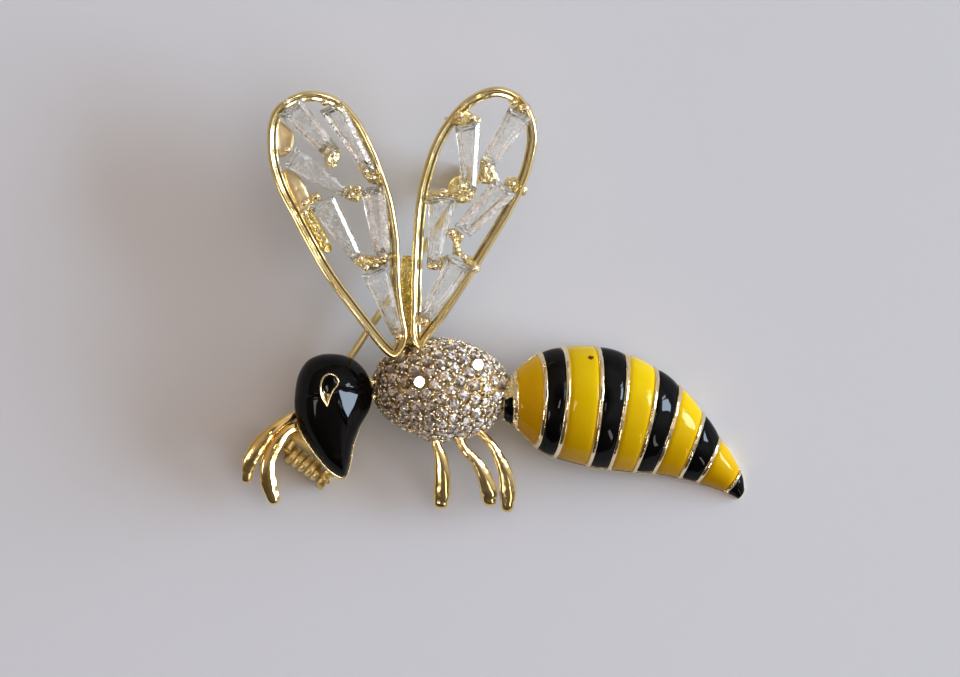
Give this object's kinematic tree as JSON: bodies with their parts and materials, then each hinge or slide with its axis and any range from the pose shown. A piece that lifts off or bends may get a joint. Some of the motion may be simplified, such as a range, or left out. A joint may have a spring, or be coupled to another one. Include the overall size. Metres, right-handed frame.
{
  "type": "wasp brooch",
  "caption": "Insect brooch: wasp with claw-set baguette wings, pave thorax, striped enamel abdomen, enamel head, curved legs and a hinged pin that lies in a hook.",
  "frame": {"origin": "middle of the overall length and breadth, on the surface that the brooch lies on", "axes": "+X along the abdomen towards its tip, +Y towards the wing tips, +Z towards the viewer of the front"},
  "size_m": [0.0505, 0.0426, 0.0095],
  "materials": {
    "gold": "polished, rough cast between the stones",
    "pin_gold": "drawn wire",
    "amber_enamel": "gloss",
    "black_enamel": "gloss",
    "black_stone": "polished",
    "clear_stone": "faceted"
  },
  "bodies": {
    "brooch": {"casting": "gold", "head_enamel": "black_enamel", "eye_cabochon": "black_stone", "neck_enamel": "black_enamel", "tip_enamel": "black_enamel", "amber_band_1": "amber_enamel", "amber_band_2": "amber_enamel", "amber_band_3": "amber_enamel", "amber_band_4": "amber_enamel", "amber_band_5": "amber_enamel", "black_band_1": "black_enamel", "black_band_2": "black_enamel", "black_band_3": "black_enamel", "black_band_4": "black_enamel", "baguette_l1": "clear_stone", "baguette_l2": "clear_stone", "baguette_l3": "clear_stone", "baguette_l4": "clear_stone", "baguette_l5": "clear_stone", "baguette_l6": "clear_stone", "baguette_r1": "clear_stone", "baguette_r2": "clear_stone", "baguette_r3": "clear_stone", "baguette_r4": "clear_stone", "baguette_r5": "clear_stone", "hinge_rivet": "pin_gold"},
    "pin": {"pin_stem": "pin_gold"}
  },
  "joints": [
    {"name": "pin_hinge", "type": "hinge", "parent": "brooch", "child": "pin", "pos_m": [-0.02075, -0.01511, 0.0014], "axis": [-0.8288, 0.5595, 0], "range_deg": [0, 60]}
  ]
}
